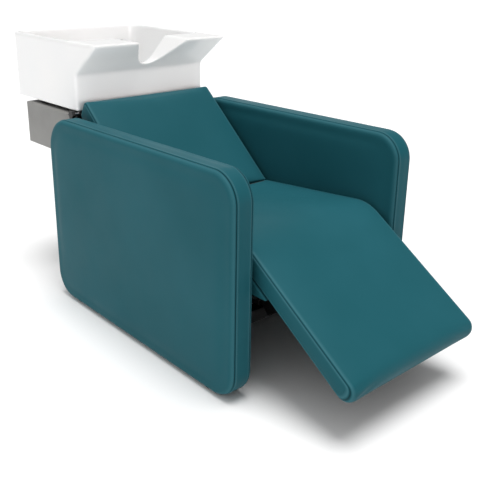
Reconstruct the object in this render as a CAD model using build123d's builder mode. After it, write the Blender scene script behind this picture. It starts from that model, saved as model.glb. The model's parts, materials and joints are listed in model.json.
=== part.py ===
"""Shampoo backwash unit: upholstered wash chair with a lifting legrest and a tilting ceramic basin.

Frame: X across the chair (+X is the client's left), the client faces -Y, +Z up, floor at Z = 0.
Side profiles are drawn on planes whose local x runs to the back (+Y) and local y runs up.
"""
import os
from math import atan2, cos, degrees, radians, sin, tan

from build123d import *

os.makedirs("parts", exist_ok=True)

# ---------------------------------------------------------------- driving dimensions (mm)
GLIDE_H = 8.0            # feet under the arms
ARM_LENGTH = 955.0
ARM_HEIGHT = 646.0
ARM_THICK = 75.0
ARM_R = 84.0             # side-view corner radius
ARM_R_TOP_BACK = 112.0
ARM_EDGE_R = 9.0         # soft edge between the faces and the boxing
ARM_SKIN = 15.0          # foam and leatherette over the core
WIDTH = 730.0
INNER_HALF = WIDTH / 2 - ARM_THICK

PAD_WIDTH = 536.0        # seat, back and legrest
PAD_THICK = 60.0         # cushion and board together
BOARD = 15.0
CUSHION = PAD_THICK - BOARD
BEND_Y, BEND_H = 72.0, 434.0       # where the seat top meets the legrest top
CREASE_Y, CREASE_H = 528.0, 399.0  # where the seat top meets the back
BACK_TOP_Y, BACK_TOP_H = 864.0, 693.0
LEG_DROP = 34.0          # degrees below the horizontal at rest
LEG_LENGTH = 482.0       # from the hinge axis to the foot end
HINGE_GAP = 0.6
SEAT_BOTTOM_H = 290.0

BASIN_WIDTH = 548.0
BASIN_TIP_Y = 770.0
BASIN_FRONT_Y = 908.0
BASIN_BACK_Y = 1360.0
BASIN_BOTTOM_H = 657.0
BASIN_SLANT_H = 777.0
BASIN_RIM_H = 896.0       # at the back
BASIN_TIP_H = 887.0       # at the front tips
BASIN_LIP = 6.0
BASIN_WALL = 14.0
BOWL_FRONT_Y = 916.0
BOWL_FLOOR_H = 716.0
BOWL_TAPER = 5.0
CERAMIC = 12.0
NOTCH_BOTTOM_H = 800.0
NOTCH_R = 62.0
NOTCH_SLOPE = 50.0
DRAIN_Y = 1150.0
DRAIN_R = 23.0
BASIN_BOLT_X = (-180.0, 180.0)
BASIN_BOLT_Y = (1000.0, 1290.0)

PIVOT_Y, PIVOT_H = 930.0, 642.0    # basin tilt axis
PLATE = 4.0
BOX_HALF = 274.0
BOX_FRONT_Y = 940.0
BOX_BACK_Y = 1290.0
BOX_BOTTOM_H = 483.0
BOX_TOP_H = 639.0
SHEET = 2.0
PANEL_SCREW_X = (-242.0, 242.0)
PANEL_SCREW_H = (BOX_BOTTOM_H + SHEET + 8, BOX_TOP_H - SHEET - 8)

TUBE = 40.0
TUBE_WALL = 2.5
FLANGE = 6.0
BOLT_R = 4.0             # M8
RUNNING = 0.05           # radial clearance of a turning pin
PIN_R = 6.0

# ---------------------------------------------------------------- derived stations and planes
FOOT_ROUND = PAD_THICK / 2
seat_rise = atan2(BEND_H - CREASE_H, CREASE_Y - BEND_Y)
leg_drop = radians(LEG_DROP)
half_turn = (seat_rise + leg_drop) / 2
hinge_offset = PAD_THICK / 2 / cos(half_turn)
lean = half_turn - seat_rise
HINGE_Y = BEND_Y + hinge_offset * sin(lean)
HINGE_H = BEND_H - hinge_offset * cos(lean)
FOOT_TIP_Y = HINGE_Y - (LEG_LENGTH - FOOT_ROUND) * cos(leg_drop) - FOOT_ROUND
ARM_FRONT = -(BASIN_BACK_Y + FOOT_TIP_Y) / 2


def world(x, y, h):
    """Station y behind the arms' front plane and height h above the arms' underside, in the row frame."""
    return (x, y + ARM_FRONT, h + GLIDE_H)


SIDE = Plane(origin=world(0, 0, 0), x_dir=(0, 1, 0), z_dir=(1, 0, 0))
LEVEL = Plane(origin=world(0, 0, 0), x_dir=(1, 0, 0), z_dir=(0, 0, 1))
LEG = Plane(origin=world(0, HINGE_Y, HINGE_H), x_dir=(0, -cos(leg_drop), -sin(leg_drop)), z_dir=(-1, 0, 0))
back_rise = atan2(BACK_TOP_H - CREASE_H, BACK_TOP_Y - CREASE_Y)


def leg_point(along, above):
    """Station of a point given along and above the legrest's mid plane, from the hinge axis."""
    return (HINGE_Y - along * cos(leg_drop) - above * sin(leg_drop),
            HINGE_H - along * sin(leg_drop) + above * cos(leg_drop))


def seat_point(along, above):
    """Station of a point given along and above the seat's mid plane, from the hinge axis."""
    return (HINGE_Y + along * cos(seat_rise) + above * sin(seat_rise),
            HINGE_H - along * sin(seat_rise) + above * cos(seat_rise))


def back_point(along, above):
    """Station of a point given up the back and above its front face, from the crease."""
    return (CREASE_Y + along * cos(back_rise) - above * sin(back_rise),
            CREASE_H + along * sin(back_rise) + above * cos(back_rise))


def block(x_span, y_span, h_span, mode=Mode.ADD):
    """Box between two stations on each axis."""
    middle = [sum(span) / 2 for span in (x_span, y_span, h_span)]
    size = [span[1] - span[0] for span in (x_span, y_span, h_span)]
    with Locations(world(*middle)):
        Box(*size, mode=mode)


def plate(x_span, points, mode=Mode.ADD):
    """Side-view outline made solid between two x stations."""
    with BuildSketch(SIDE.offset(x_span[0])) as outline:
        Polygon(*points, align=None)
    extrude(outline.sketch, amount=x_span[1] - x_span[0], mode=mode)


def bar(x_span, place, along, above, mode=Mode.ADD):
    """Straight bar drawn with leg_point, seat_point or back_point."""
    corners = [(along[0], above[0]), (along[1], above[0]), (along[1], above[1]), (along[0], above[1])]
    plate(x_span, [place(*corner) for corner in corners], mode)


def pin(x_span, y, h, radius, mode=Mode.ADD):
    """Cylinder across the chair."""
    with Locations(world(sum(x_span) / 2, y, h)):
        Cylinder(radius, x_span[1] - x_span[0], rotation=(0, 90, 0), mode=mode)


def post(x, y, h_span, radius, mode=Mode.ADD):
    """Upright cylinder."""
    with Locations(world(x, y, sum(h_span) / 2)):
        Cylinder(radius, h_span[1] - h_span[0], mode=mode)


def spigot(x, y_span, h, radius, mode=Mode.ADD):
    """Cylinder along the chair."""
    with Locations(world(x, sum(y_span) / 2, h)):
        Cylinder(radius, y_span[1] - y_span[0], rotation=(90, 0, 0), mode=mode)


def both_sides(x_span):
    """The same x span on the client's left and right."""
    return [x_span, (-x_span[1], -x_span[0])]


def tube(x_span, y_span, h_span, run):
    """Square tube with open ends; run is the axis number that it runs along."""
    spans = [x_span, y_span, h_span]
    block(*spans)
    bore = [span if axis == run else (span[0] + TUBE_WALL, span[1] - TUBE_WALL)
            for axis, span in enumerate(spans)]
    block(*bore, mode=Mode.SUBTRACT)


def save(builder, name):
    """Label a finished piece and write it under its own name."""
    builder.part.label = name
    export_step(builder.part, f"parts/{name}.step")


# ---------------------------------------------------------------- frames
LOW_H = (48.0, 48.0 + TUBE)
LOW_FRONT_Y = (245.0, 245.0 + TUBE)
LOW_REAR_Y = (895.0, 895.0 + TUBE)
UPPER_H = (250.0, 250.0 + TUBE)
UPPER_FRONT_Y = (150.0, 150.0 + TUBE)
UPPER_REAR_Y = (540.0, 540.0 + TUBE)
UPRIGHT_X = (160.0, 160.0 + TUBE)
UPRIGHT_TOP_H = 600.0
SEAT_RAIL_X = (205.0, 235.0)
BACK_RAIL_X = (120.0, 150.0)
RAIL = 30.0
FLANGE_LENGTH = 120.0
BOLT_STEP = 90.0
FLANGE_X = (INNER_HALF - FLANGE, INNER_HALF)
FRAME_HALF = INNER_HALF - FLANGE
flange_stations = [
    (sum(LOW_FRONT_Y) / 2, sum(LOW_H) / 2),
    (LOW_REAR_Y[1] - FLANGE_LENGTH / 2, sum(LOW_H) / 2),
    (sum(UPPER_FRONT_Y) / 2, sum(UPPER_H) / 2),
    (sum(UPPER_REAR_Y) / 2, sum(UPPER_H) / 2),
]
bolt_stations = [(y + step, h) for y, h in flange_stations for step in (-BOLT_STEP / 2, BOLT_STEP / 2)]


def arm_flanges(stations):
    """Bolting plates against the arms' inner faces."""
    for y, h in stations:
        for span in both_sides(FLANGE_X):
            block(span, (y - FLANGE_LENGTH / 2, y + FLANGE_LENGTH / 2), (h - 30, h + 30))
            for step in (-BOLT_STEP / 2, BOLT_STEP / 2):
                pin((span[0] - 1, span[1] + 1), y + step, h, BOLT_R + 0.25, Mode.SUBTRACT)


# lever of the legrest and the line of its actuator
LEVER_ALONG, LEVER_BELOW = 90.0, 65.0
LIFT = LEG_DROP
STROKE_LENGTH = 330.0    # pivot to pivot at mid travel


def raised(point, angle):
    """Station of a point of the legrest after it has been raised by an angle in degrees."""
    turn = radians(angle)
    dy, dh = point[0] - HINGE_Y, point[1] - HINGE_H
    return (HINGE_Y + dy * cos(turn) + dh * sin(turn), HINGE_H - dy * sin(turn) + dh * cos(turn))


lever_rest = leg_point(LEVER_ALONG, -LEVER_BELOW)
lever_top = raised(lever_rest, LIFT)
lever_middle = raised(lever_rest, LIFT / 2)
thrust = atan2(lever_top[1] - lever_rest[1], lever_rest[0] - lever_top[0])
bow = ((lever_middle[0] - lever_rest[0]) * sin(thrust) + (lever_middle[1] - lever_rest[1]) * cos(thrust)) / 2
rod_eye = (lever_rest[0] + bow * sin(thrust), lever_rest[1] + bow * cos(thrust))
travel = ((lever_top[0] - lever_rest[0]) ** 2 + (lever_top[1] - lever_rest[1]) ** 2) ** 0.5
ACTUATOR_LENGTH = STROKE_LENGTH - travel / 2
clevis = (rod_eye[0] + ACTUATOR_LENGTH * cos(thrust), rod_eye[1] - ACTUATOR_LENGTH * sin(thrust))
print(f"hinge axis {world(0, HINGE_Y, HINGE_H)}, rod travel {travel:.2f} mm, thrust {degrees(thrust):.2f} deg")
print(f"rod eye {world(0, *rod_eye)}, clevis {world(0, *clevis)}, bow {bow:.2f} mm")

with BuildPart() as lower_frame:
    for y_span in (LOW_FRONT_Y, LOW_REAR_Y):
        tube((-FRAME_HALF, FRAME_HALF), y_span, LOW_H, run=0)
    for x_span in both_sides(UPRIGHT_X):
        tube(x_span, (LOW_FRONT_Y[1], LOW_REAR_Y[0]), LOW_H, run=1)
    arm_flanges(flange_stations[:2])
    for x_span in both_sides((13.0, 19.0)):
        plate(x_span, [(clevis[0] - 16, LOW_H[1]), (clevis[0] + 16, LOW_H[1]),
                       (clevis[0] + 11, clevis[1] + 11), (clevis[0] - 11, clevis[1] + 11)])
    pin((-20.0, 20.0), *clevis, PIN_R, Mode.SUBTRACT)
save(lower_frame, "lower_frame")

HINGE_PLATE_X = (212.0, 218.0)
LUG_X = (203.0, 209.0)
with BuildPart() as seat_frame:
    for y_span in (UPPER_FRONT_Y, UPPER_REAR_Y):
        tube((-FRAME_HALF, FRAME_HALF), y_span, UPPER_H, run=0)
    arm_flanges(flange_stations[2:])
    for x_span in both_sides(SEAT_RAIL_X):
        bar(x_span, seat_point, (45, 500), (-PAD_THICK / 2 - RAIL, -PAD_THICK / 2))
        block(x_span, (UPPER_FRONT_Y[0] + 5, UPPER_FRONT_Y[1] - 5), (UPPER_H[1], UPPER_H[1] + 55))
        block(x_span, (UPPER_REAR_Y[0], UPPER_REAR_Y[0] + 17), (UPPER_H[1], UPPER_H[1] + 22))
        bar((x_span[0] + TUBE_WALL, x_span[1] - TUBE_WALL), seat_point, (44, 501),
            (-PAD_THICK / 2 - RAIL + TUBE_WALL, -PAD_THICK / 2 - TUBE_WALL), Mode.SUBTRACT)
    for x_span in both_sides(HINGE_PLATE_X):
        plate(x_span, [(HINGE_Y - 13, HINGE_H), (HINGE_Y - 8, HINGE_H + 10), (HINGE_Y + 8, HINGE_H + 10),
                       (HINGE_Y + 13, HINGE_H), (HINGE_Y + 13, HINGE_H - 45),
                       (UPPER_FRONT_Y[0] + 5, UPPER_H[1]), (UPPER_FRONT_Y[0], UPPER_H[1]),
                       (UPPER_FRONT_Y[0], UPPER_H[0]), (UPPER_FRONT_Y[0] - 15, UPPER_H[0])])
    pin((-230.0, 230.0), HINGE_Y, HINGE_H, PIN_R, Mode.SUBTRACT)
save(seat_frame, "seat_frame")

with BuildPart() as rear_frame:
    for x_span in both_sides(UPRIGHT_X):
        tube(x_span, LOW_REAR_Y, (LOW_H[1], UPRIGHT_TOP_H), run=2)
    tube((-UPRIGHT_X[0], UPRIGHT_X[0]), LOW_REAR_Y, (520.0, 560.0), run=0)
    for x_span in both_sides(BACK_RAIL_X):
        bar(x_span, back_point, (-58, 320), (-PAD_THICK - RAIL, -PAD_THICK))
        block(x_span, (542, 590), (UPPER_H[1], UPPER_H[1] + 14))
        block(x_span, (825, LOW_REAR_Y[0]), (525, 555))
save(rear_frame, "rear_frame")

# ---------------------------------------------------------------- arms
CORE = ARM_THICK - 2 * ARM_SKIN

for side, sign in (("left", 1), ("right", -1)):
    core_x = sorted((sign * (INNER_HALF + ARM_SKIN), sign * (INNER_HALF + ARM_SKIN + CORE)))
    cover_x = sorted((sign * INNER_HALF, sign * (INNER_HALF + ARM_THICK)))
    pieces = {}
    for piece, x_span, inset in (("core", core_x, ARM_SKIN), ("cover", cover_x, 0.0)):
        with BuildPart() as slab:
            with BuildSketch(SIDE.offset(x_span[0])):
                with BuildLine():
                    FilletPolyline((inset, inset), (ARM_LENGTH - inset, inset),
                                   (ARM_LENGTH - inset, ARM_HEIGHT - inset), (inset, ARM_HEIGHT - inset),
                                   radius=[r - inset for r in (ARM_R, ARM_R, ARM_R_TOP_BACK, ARM_R)],
                                   close=True)
                make_face()
            extrude(amount=x_span[1] - x_span[0])
            if piece == "cover":
                rims = slab.faces().filter_by(Axis.X).edges()
                fillet(rims, ARM_EDGE_R)
                add(pieces["core"], mode=Mode.SUBTRACT)
            for y, h in bolt_stations:
                depth = sorted((sign * (INNER_HALF - 1), sign * (INNER_HALF + 50)))
                pin(depth, y, h, BOLT_R + 0.25, Mode.SUBTRACT)
        pieces[piece] = slab.part
        save(slab, f"arm_{piece}_{side}")

with BuildPart() as arm_bolts:
    for y, h in bolt_stations:
        for sign in (1, -1):
            head = sorted((sign * (FRAME_HALF - 8), sign * FRAME_HALF))
            shank = sorted((sign * FRAME_HALF, sign * (INNER_HALF + 45)))
            pin(head, y, h, 6.5)
            pin(shank, y, h, BOLT_R)
save(arm_bolts, "arm_bolts")

with BuildPart() as arm_glides:
    for x in (-INNER_HALF - ARM_THICK / 2, INNER_HALF + ARM_THICK / 2):
        for y in (120.0, ARM_LENGTH - 120.0):
            post(x, y, (-GLIDE_H, 0.0), 25.0)
    chamfer(arm_glides.edges().filter_by(GeomType.CIRCLE).group_by(Axis.Z)[0], 2.0)
save(arm_glides, "arm_glides")

# ---------------------------------------------------------------- seat
PAD_HALF = PAD_WIDTH / 2
seat_start = PAD_THICK / 2 + HINGE_GAP
seat_end = ((BEND_H - CREASE_H) ** 2 + (CREASE_Y - BEND_Y) ** 2) ** 0.5 - hinge_offset * sin(half_turn) - 0.5
board_top = -PAD_THICK / 2 + BOARD

with BuildPart() as seat_board:
    bar((-PAD_HALF + 2, PAD_HALF - 2), seat_point, (seat_start, seat_end), (-PAD_THICK / 2, board_top))
save(seat_board, "seat_board")

with BuildPart() as seat_cushion:
    bar((-PAD_HALF, PAD_HALF), seat_point, (seat_start, seat_end), (board_top, PAD_THICK / 2))
    fillet(seat_cushion.edges().filter_by(Axis.Y, tolerance=10).group_by(Axis.Z)[-1], 8.0)
save(seat_cushion, "seat_cushion")

SIDE_PANEL = 12.0
SIDE_GAP = 2.5
side_drop = (HINGE_H - SEAT_BOTTOM_H - (PAD_THICK / 2 + SIDE_GAP) * cos(leg_drop)) / sin(leg_drop)
side_outline = [seat_point(12, -PAD_THICK / 2 - 0.1), leg_point(side_drop, -PAD_THICK / 2 - SIDE_GAP),
                (UPPER_REAR_Y[1], SEAT_BOTTOM_H), seat_point(seat_end, -PAD_THICK / 2 - 0.1)]
for side, x_span in zip(("left", "right"), both_sides((PAD_HALF - SIDE_PANEL, PAD_HALF))):
    with BuildPart() as seat_side:
        plate(x_span, side_outline)
    save(seat_side, f"seat_side_{side}")

# ---------------------------------------------------------------- backrest
back_length = ((BACK_TOP_H - CREASE_H) ** 2 + (BACK_TOP_Y - CREASE_Y) ** 2) ** 0.5
WEDGE_START = 365.0
back_outline = [back_point(0.5, 0), (BACK_TOP_Y, BACK_TOP_H), (BACK_TOP_Y + 15, BACK_TOP_H - 5),
                (BACK_TOP_Y + 45, BACK_TOP_H - 58), back_point(WEDGE_START, -CUSHION),
                back_point(0.5, -CUSHION)]
with BuildPart() as backrest_cushion:
    plate((-PAD_HALF, PAD_HALF), back_outline)
save(backrest_cushion, "backrest_cushion")

with BuildPart() as backrest_board:
    bar((-PAD_HALF + 2, PAD_HALF - 2), back_point, (2, WEDGE_START - 10), (-PAD_THICK, -CUSHION))
save(backrest_board, "backrest_board")

# ---------------------------------------------------------------- legrest
leg_end = LEG_LENGTH - FOOT_ROUND
NOTCH_X = (196.0, 224.0)
with BuildPart() as legrest_cushion:
    with BuildSketch(LEG.offset(-PAD_HALF)):
        with Locations((leg_end / 2, 0)):
            SlotCenterToCenter(leg_end, PAD_THICK)
    extrude(amount=PAD_WIDTH)
    bar((-PAD_HALF, PAD_HALF), leg_point, (8, leg_end - 8), (-PAD_THICK, board_top), Mode.SUBTRACT)
    for x_span in both_sides(NOTCH_X):
        bar(x_span, leg_point, (-PAD_THICK, 48), (-PAD_THICK, 16), Mode.SUBTRACT)
save(legrest_cushion, "legrest_cushion")

with BuildPart() as legrest_board:
    bar((-PAD_HALF + 2, PAD_HALF - 2), leg_point, (8, leg_end - 8), (-PAD_THICK / 2, board_top))
    for x_span in both_sides(NOTCH_X):
        bar(x_span, leg_point, (0, 48), (-PAD_THICK, 16), Mode.SUBTRACT)
save(legrest_board, "legrest_board")

STRIP = 4.0
under = -PAD_THICK / 2
with BuildPart() as legrest_bracket:
    for x_span in both_sides((LUG_X[1] - 30, LUG_X[1])):
        bar(x_span, leg_point, (50, 400), (under - STRIP, under))
    for along in ((60, 125), (370, 400)):
        bar((-LUG_X[1], LUG_X[1]), leg_point, along, (under - STRIP, under))
    for x_span in both_sides(LUG_X):
        plate(x_span, [leg_point(*at) for at in
                       ((-12, -6), (-12, 6), (-6, 12), (6, 12), (40, under + 8), (48, under),
                        (100, under), (100, under - 12), (30, under - 12))])
    for x_span in both_sides((12.0, 18.0)):
        plate(x_span, [leg_point(*at) for at in
                       ((62, under), (118, under), (LEVER_ALONG + 12, -LEVER_BELOW - 8),
                        (LEVER_ALONG - 12, -LEVER_BELOW - 8))])
    pin((-215.0, 215.0), HINGE_Y, HINGE_H, PIN_R + 2, Mode.SUBTRACT)
    pin((-20.0, 20.0), *lever_rest, 5.0, Mode.SUBTRACT)
save(legrest_bracket, "legrest_bracket")

with BuildPart() as legrest_hinge_pins:
    for sign in (1, -1):
        pin(sorted((sign * 200.0, sign * HINGE_PLATE_X[1])), HINGE_Y, HINGE_H, PIN_R)
        pin(sorted((sign * HINGE_PLATE_X[1], sign * (HINGE_PLATE_X[1] + 3))), HINGE_Y, HINGE_H, PIN_R + 3)
save(legrest_hinge_pins, "legrest_hinge_pins")

with BuildPart() as legrest_bushes:
    for x_span in both_sides(LUG_X):
        pin(x_span, HINGE_Y, HINGE_H, PIN_R + 2)
        pin(x_span, HINGE_Y, HINGE_H, PIN_R + RUNNING, Mode.SUBTRACT)
save(legrest_bushes, "legrest_bushes")

# ---------------------------------------------------------------- actuator
def thrust_point(along, above):
    """Station of a point given along and above the actuator's line, from the clevis pin."""
    return (clevis[0] - along * cos(thrust) + above * sin(thrust),
            clevis[1] + along * sin(thrust) + above * cos(thrust))


def thrust_rod(along, radius, offset=0.0, mode=Mode.ADD):
    """Cylinder along the actuator's line."""
    with BuildSketch(Plane(origin=world(0, *thrust_point(along[0], offset)), x_dir=(1, 0, 0),
                           z_dir=(0, -cos(thrust), sin(thrust)))) as section:
        Circle(radius)
    extrude(section.sketch, amount=along[1] - along[0], mode=mode)


TUBE_R = 18.0
ROD_R = 10.0
BODY_END = ACTUATOR_LENGTH - 45.0
with BuildPart() as actuator_body:
    bar((-11.0, 11.0), thrust_point, (-11, 30), (-11, 11))
    bar((-24.0, 24.0), thrust_point, (24, 92), (-72, 24))
    thrust_rod((92, BODY_END), TUBE_R)
    thrust_rod((92, 215), 23.0, offset=-46.0)
    thrust_rod((90, BODY_END + 1), ROD_R + 0.1, mode=Mode.SUBTRACT)
    pin((-12.0, 12.0), *clevis, PIN_R, Mode.SUBTRACT)
save(actuator_body, "actuator_body")

with BuildPart() as actuator_rod:
    thrust_rod((95, ACTUATOR_LENGTH - 14), ROD_R)
    bar((-9.0, 9.0), thrust_point, (ACTUATOR_LENGTH - 22, ACTUATOR_LENGTH + 14), (-14, 14))
    pin((-10.0, 10.0), *rod_eye, 5.0 + abs(bow) + 0.6, Mode.SUBTRACT)
save(actuator_rod, "actuator_rod")

with BuildPart() as clevis_pin:
    pin((-22.0, 19.0), *clevis, PIN_R)
    pin((-25.0, -19.0), *clevis, PIN_R + 3)
save(clevis_pin, "clevis_pin")

with BuildPart() as lever_pin:
    pin((-21.0, 18.0), *lever_rest, 5.0)
    pin((-24.0, -18.0), *lever_rest, 8.0)
save(lever_pin, "lever_pin")

# ---------------------------------------------------------------- technical box
BRACKET = 5.0
EAR_X = (239.0, 245.0)
PLATE_EAR_X = (247.0, 253.0)
WASTE_OPENING = 70.0
with BuildPart() as basin_bracket:
    block((-260, 260), (BOX_FRONT_Y - BRACKET, BOX_FRONT_Y), (BOX_BOTTOM_H, PIVOT_H - 11))
    for x_span in both_sides(EAR_X):
        plate(x_span, [(PIVOT_Y - 4, PIVOT_H + 9), (PIVOT_Y + 4, PIVOT_H + 9), (PIVOT_Y + 9, PIVOT_H + 4),
                       (PIVOT_Y + 9, PIVOT_H - 30), (PIVOT_Y - 4, PIVOT_H - 30), (PIVOT_Y - 9, PIVOT_H - 4),
                       (PIVOT_Y - 9, PIVOT_H + 4)])
    pin((-262, 262), PIVOT_Y, PIVOT_H, PIN_R + 2, Mode.SUBTRACT)
save(basin_bracket, "basin_bracket")

with BuildPart() as tilt_bushes:
    for x_span in both_sides(EAR_X):
        pin(x_span, PIVOT_Y, PIVOT_H, PIN_R + 2)
        pin(x_span, PIVOT_Y, PIVOT_H, PIN_R + RUNNING, Mode.SUBTRACT)
save(tilt_bushes, "tilt_bushes")

INLET_X, INLET_Y = 60.0, 1230.0
GLAND_X, GLAND_H = -200.0, 515.0
with BuildPart() as box_shell:
    block((-BOX_HALF, BOX_HALF), (BOX_FRONT_Y, BOX_BACK_Y), (BOX_BOTTOM_H, BOX_TOP_H))
    fillet(box_shell.edges().filter_by(Axis.Y), 4.0)
    block((-BOX_HALF + SHEET, BOX_HALF - SHEET), (BOX_FRONT_Y + SHEET, BOX_BACK_Y + 1),
          (BOX_BOTTOM_H + SHEET, BOX_TOP_H - SHEET), Mode.SUBTRACT)
    post(0, DRAIN_Y, (BOX_TOP_H - 5, BOX_TOP_H + 5), WASTE_OPENING, Mode.SUBTRACT)
    post(0, DRAIN_Y, (BOX_BOTTOM_H - 5, BOX_BOTTOM_H + 5), 21.0, Mode.SUBTRACT)
    for x in (-INLET_X, INLET_X):
        post(x, INLET_Y, (BOX_BOTTOM_H - 5, BOX_BOTTOM_H + 5), 11.0, Mode.SUBTRACT)
    for x in PANEL_SCREW_X:
        for h in PANEL_SCREW_H:
            block((x - 8, x + 8), (BOX_BACK_Y - 22, BOX_BACK_Y - SHEET), (h - 8, h + 8))
            spigot(x, (BOX_BACK_Y - 23, BOX_BACK_Y), h, 2.2, Mode.SUBTRACT)
save(box_shell, "box_shell")

with BuildPart() as box_rear_panel:
    block((-BOX_HALF + SHEET + 0.5, BOX_HALF - SHEET - 0.5), (BOX_BACK_Y - SHEET, BOX_BACK_Y),
          (BOX_BOTTOM_H + SHEET + 0.5, BOX_TOP_H - SHEET - 0.5))
    for x in PANEL_SCREW_X:
        for h in PANEL_SCREW_H:
            spigot(x, (BOX_BACK_Y - 5, BOX_BACK_Y + 5), h, 2.2, Mode.SUBTRACT)
    spigot(GLAND_X, (BOX_BACK_Y - 5, BOX_BACK_Y + 5), GLAND_H, 8.0, Mode.SUBTRACT)
save(box_rear_panel, "box_rear_panel")

with BuildPart() as panel_screws:
    for x in PANEL_SCREW_X:
        for h in PANEL_SCREW_H:
            spigot(x, (BOX_BACK_Y - 16, BOX_BACK_Y), h, 2.0)
            spigot(x, (BOX_BACK_Y, BOX_BACK_Y + 2.5), h, 4.0)
save(panel_screws, "panel_screws")

BUMPER_X = 210.0
with BuildPart() as bumpers:
    for x in (-BUMPER_X, BUMPER_X):
        for y in (1010.0, 1262.0):
            post(x, y, (BOX_TOP_H, BASIN_BOTTOM_H - PLATE - 0.3), 14.0)
save(bumpers, "bumpers")

with BuildPart() as rear_closing_panel:
    block((-INNER_HALF + 1, INNER_HALF - 1), (BOX_FRONT_Y - 4, BOX_FRONT_Y + 8), (40.0, BOX_BOTTOM_H - 3))
save(rear_closing_panel, "rear_closing_panel")

BUTTON_X = (175.0, 205.0)
BUTTON_R = 9.0
BUTTON_H = 560.0
with BuildPart() as control_housing:
    block((150.0, 230.0), (BOX_BACK_Y, BOX_BACK_Y + 12), (BUTTON_H - 20, BUTTON_H + 20))
    fillet(control_housing.edges().filter_by(Axis.Y), 6.0)
    for x in BUTTON_X:
        spigot(x, (BOX_BACK_Y + 2, BOX_BACK_Y + 13), BUTTON_H, BUTTON_R + 0.1, Mode.SUBTRACT)
save(control_housing, "control_housing")

for name, x in zip(("button_down", "button_up"), BUTTON_X):
    with BuildPart() as button:
        spigot(x, (BOX_BACK_Y + 5, BOX_BACK_Y + 15), BUTTON_H, BUTTON_R)
        chamfer(button.edges().filter_by(GeomType.CIRCLE).group_by(Axis.Y)[-1], 0.8)
    save(button, name)

with BuildPart() as power_supply:
    block((-240.0, -110.0), (990.0, 1160.0), (BOX_BOTTOM_H + SHEET, BOX_BOTTOM_H + SHEET + 48))
    fillet(power_supply.edges().filter_by(Axis.Z), 4.0)
save(power_supply, "power_supply")

GLAND_BORE = 4.0
with BuildPart() as cable_gland:
    spigot(GLAND_X, (BOX_BACK_Y - 12, BOX_BACK_Y + 14), GLAND_H, 7.8)
    spigot(GLAND_X, (BOX_BACK_Y, BOX_BACK_Y + 6), GLAND_H, 11.0)
    spigot(GLAND_X, (BOX_BACK_Y - 13, BOX_BACK_Y + 15), GLAND_H, GLAND_BORE, Mode.SUBTRACT)
save(cable_gland, "cable_gland")

INLET_R = 10.5
for name, x in (("cold_inlet", INLET_X), ("hot_inlet", -INLET_X)):
    with BuildPart() as nipple:
        post(x, INLET_Y, (BOX_BOTTOM_H - 26, BOX_BOTTOM_H + 30), INLET_R)
        post(x, INLET_Y, (BOX_BOTTOM_H - 6, BOX_BOTTOM_H), 14.0)
        post(x, INLET_Y, (BOX_BOTTOM_H - 27, BOX_BOTTOM_H + 31), 6.5, Mode.SUBTRACT)
    save(nipple, name)

OUTLET_R = 20.0
HOSE_BOTTOM_H = BOX_BOTTOM_H + 25
with BuildPart() as waste_outlet:
    post(0, DRAIN_Y, (BOX_BOTTOM_H - 45, HOSE_BOTTOM_H), OUTLET_R)
    post(0, DRAIN_Y, (BOX_BOTTOM_H - 10, BOX_BOTTOM_H), 30.0)
    post(0, DRAIN_Y, (BOX_BOTTOM_H + SHEET, BOX_BOTTOM_H + SHEET + 4), 32.0)
    post(0, DRAIN_Y, (BOX_BOTTOM_H - 46, HOSE_BOTTOM_H + 1), OUTLET_R - 2.5, Mode.SUBTRACT)
save(waste_outlet, "waste_outlet")

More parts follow.
